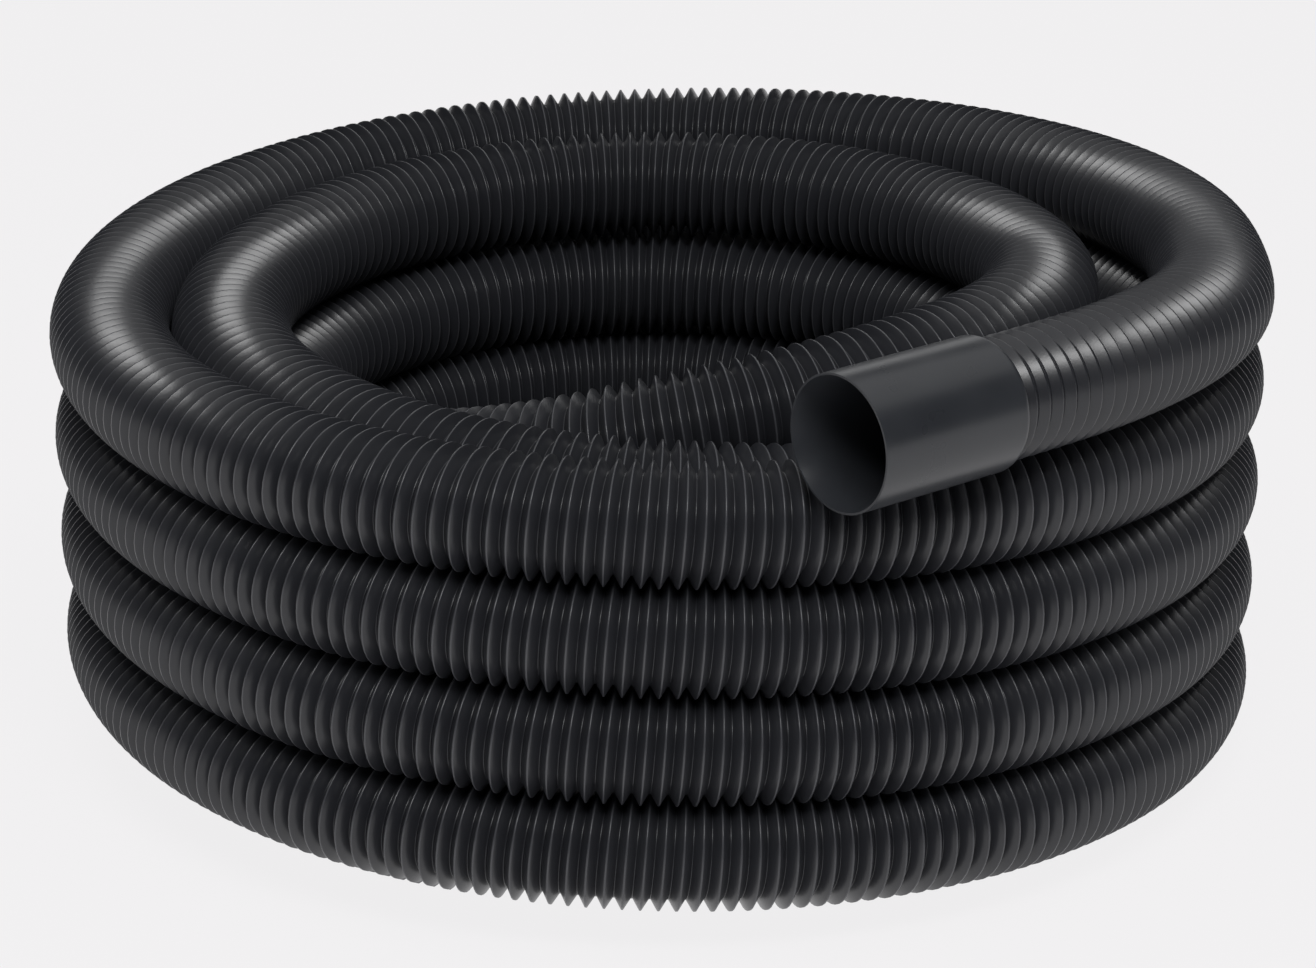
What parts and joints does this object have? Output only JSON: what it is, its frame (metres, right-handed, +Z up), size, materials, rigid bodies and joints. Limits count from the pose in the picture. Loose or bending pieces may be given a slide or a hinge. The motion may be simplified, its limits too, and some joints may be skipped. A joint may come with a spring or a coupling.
{
  "type": "pool vacuum hose",
  "caption": "Long black ribbed pool vacuum hose wound in a two-layer coil, with a smooth swivel cuff on one end and a fixed cuff on the other.",
  "frame": {"origin": "middle of the whole object on the floor it lies on", "axes": "+Z up along the coil's axis; the swivel cuff lies at -Y, towards +X"},
  "size_m": [0.4236, 0.4471, 0.2025],
  "materials": {
    "hose": "satin extruded polyethylene",
    "cuff": "satin moulded polyethylene",
    "hub": "moulded ABS",
    "retainer": "moulded acetal",
    "washer": "natural nylon",
    "seal": "moulded nitrile rubber"
  },
  "bodies": {
    "hose_body": {"hose_lead": "hose", "hose_outer_coil": "hose", "hose_bottom_run": "hose", "hose_inner_coil": "hose", "hose_crossing_turn": "hose", "hose_top_turn": "hose", "swivel_cuff_hub": "hub", "swivel_cuff_seal": "seal", "swivel_cuff_washer": "washer", "fixed_cuff": "cuff", "fixed_cuff_seal": "seal"},
    "swivel_sleeve": {"swivel_cuff_sleeve": "cuff", "swivel_cuff_retainer": "retainer"}
  },
  "joints": [
    {"name": "cuff_swivel", "type": "hinge", "parent": "hose_body", "child": "swivel_sleeve", "pos_m": [0.07751, -0.18752, 0.1805], "axis": [0.7771, 0.6293, 0], "continuous": true}
  ]
}
